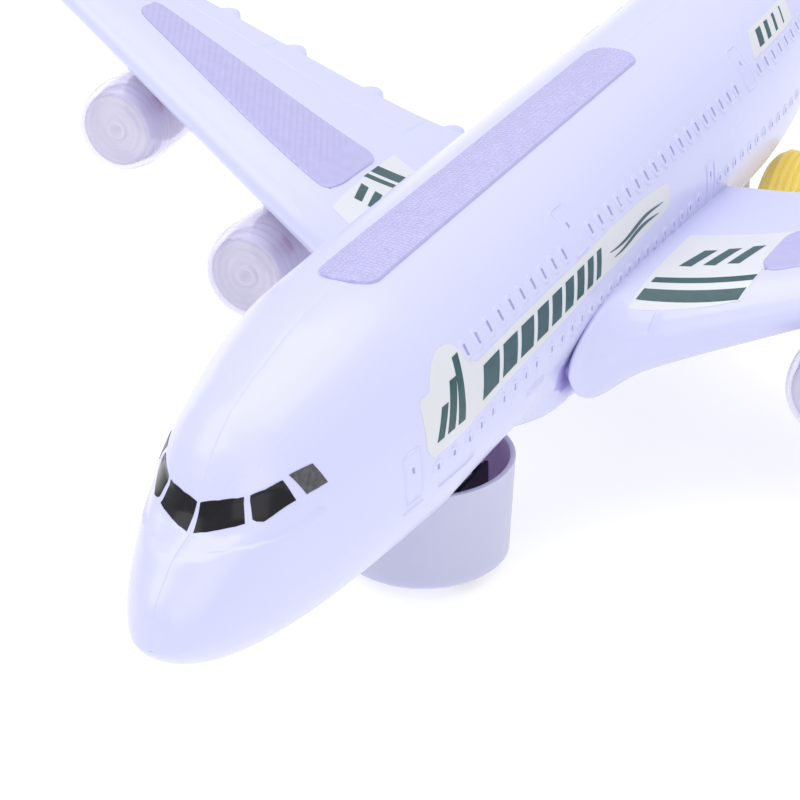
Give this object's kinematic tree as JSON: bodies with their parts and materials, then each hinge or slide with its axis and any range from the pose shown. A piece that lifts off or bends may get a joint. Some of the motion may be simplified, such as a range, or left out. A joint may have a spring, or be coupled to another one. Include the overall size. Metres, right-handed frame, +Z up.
{
  "type": "toy airplane",
  "caption": "Battery bump-and-go toy airliner with light-up lens strips, clear engines, a swivelling drive turret and rear wheels.",
  "frame": {"origin": "on the floor under the middle of the airplane, where the wheels stand", "axes": "+Z up, nose towards -Y, port wing on +X"},
  "size_m": [0.39, 0.44, 0.1423],
  "materials": {
    "shell_white": "gloss moulded ABS",
    "lens_lavender": "pebbled translucent",
    "clear_plastic": "clear moulded polystyrene",
    "wheel_yellow": "satin moulded",
    "wheel_hub_yellow": "satin moulded",
    "mechanism_black": "satin moulded",
    "gear_white": "nylon",
    "pinion_brass": "machined",
    "steel": "bright",
    "motor_can": "nickel plated",
    "tyre_black": "matt",
    "circuit_green": "solder resist",
    "board_white": "white solder resist",
    "chip_black": "epoxy",
    "led_red": "clear red epoxy",
    "cell_label": "printed foil",
    "contact_steel": "nickel plated",
    "speaker_steel": "satin",
    "switch_red": "satin moulded"
  },
  "bodies": {
    "airframe": {"fuselage_left_shell": "shell_white", "fuselage_right_shell": "shell_white", "top_light_lens": "lens_lavender", "belly_fairing": "shell_white", "wing_left_upper_shell": "shell_white", "wing_left_lower_shell": "shell_white", "wing_left_lens": "lens_lavender", "wing_right_upper_shell": "shell_white", "wing_right_lower_shell": "shell_white", "wing_right_lens": "lens_lavender", "engine_left_inner_nacelle": "clear_plastic", "engine_left_outer_nacelle": "clear_plastic", "engine_right_inner_nacelle": "clear_plastic", "engine_right_outer_nacelle": "clear_plastic", "engine_front_lenses": "clear_plastic", "engine_led_boards": "board_white", "engine_leds": "led_red", "tail_fin": "shell_white", "tailplane_left": "shell_white", "tailplane_right": "shell_white", "battery_tray": "mechanism_black", "battery_cells": "cell_label", "battery_contacts": "contact_steel", "battery_springs": "contact_steel", "circuit_board": "circuit_green", "sound_chip": "chip_black", "speaker": "speaker_steel", "top_led_board": "circuit_green", "top_leds": "led_red", "wing_led_boards": "circuit_green", "wing_leds": "led_red", "switch_bezel": "mechanism_black", "switch_body": "contact_steel", "turret_bearing": "shell_white", "rear_axle_bracket": "shell_white", "rear_bracket_screws": "steel"},
    "battery_door": {"battery_door": "shell_white", "battery_door_screw": "steel"},
    "power_switch": {"power_switch_slider": "switch_red"},
    "turret": {"turret_crossbar": "mechanism_black", "turret_cup": "shell_white", "turret_washer": "steel", "turret_pivot_screw": "steel", "turret_cup_screws": "steel", "gearbox_frame": "mechanism_black", "gear_arbors": "steel", "drive_motor": "motor_can"},
    "drive_axle": {"drive_axle": "steel", "drive_wheels": "wheel_hub_yellow", "drive_tyres": "tyre_black", "axle_gear": "gear_white"},
    "second_gear": {"second_gear": "gear_white"},
    "first_gear": {"first_gear": "gear_white"},
    "motor_rotor": {"motor_shaft": "steel", "motor_pinion": "pinion_brass"},
    "rear_wheels": {"rear_axle": "steel", "rear_wheel_left": "wheel_yellow", "rear_wheel_right": "wheel_yellow"}
  },
  "joints": [
    {"name": "turret_swivel", "type": "hinge", "parent": "airframe", "child": "turret", "pos_m": [0, -0.0923, 0.03], "axis": [0, 0, 1], "continuous": true},
    {"name": "drive_wheel_spin", "type": "hinge", "parent": "turret", "child": "drive_axle", "pos_m": [0, -0.0948, 0.009], "axis": [1, 0, 0], "continuous": true},
    {"name": "second_gear_spin", "type": "hinge", "parent": "turret", "child": "second_gear", "pos_m": [0, -0.09584, 0.01491], "axis": [1, 0, 0], "continuous": true},
    {"name": "first_gear_spin", "type": "hinge", "parent": "turret", "child": "first_gear", "pos_m": [0, -0.09125, 0.01877], "axis": [1, 0, 0], "continuous": true},
    {"name": "motor_spin", "type": "hinge", "parent": "turret", "child": "motor_rotor", "pos_m": [0, -0.087, 0.01452], "axis": [1, 0, 0], "continuous": true},
    {"name": "rear_wheel_spin", "type": "hinge", "parent": "airframe", "child": "rear_wheels", "pos_m": [0, 0.107, 0.02], "axis": [1, 0, 0], "continuous": true},
    {"name": "power_switch_slide", "type": "slide", "parent": "airframe", "child": "power_switch", "axis": [0, 1, 0], "range_m": [0, 0.003]},
    {"name": "battery_door_open", "type": "hinge", "parent": "airframe", "child": "battery_door", "pos_m": [0, -0.05175, 0.0255], "axis": [-1, 0, 0], "range_deg": [0, 75]}
  ],
  "couplings": [
    {"joint": "second_gear_spin", "follows": "drive_wheel_spin", "ratio": -2},
    {"joint": "first_gear_spin", "follows": "drive_wheel_spin", "ratio": 4},
    {"joint": "motor_spin", "follows": "drive_wheel_spin", "ratio": -8}
  ]
}
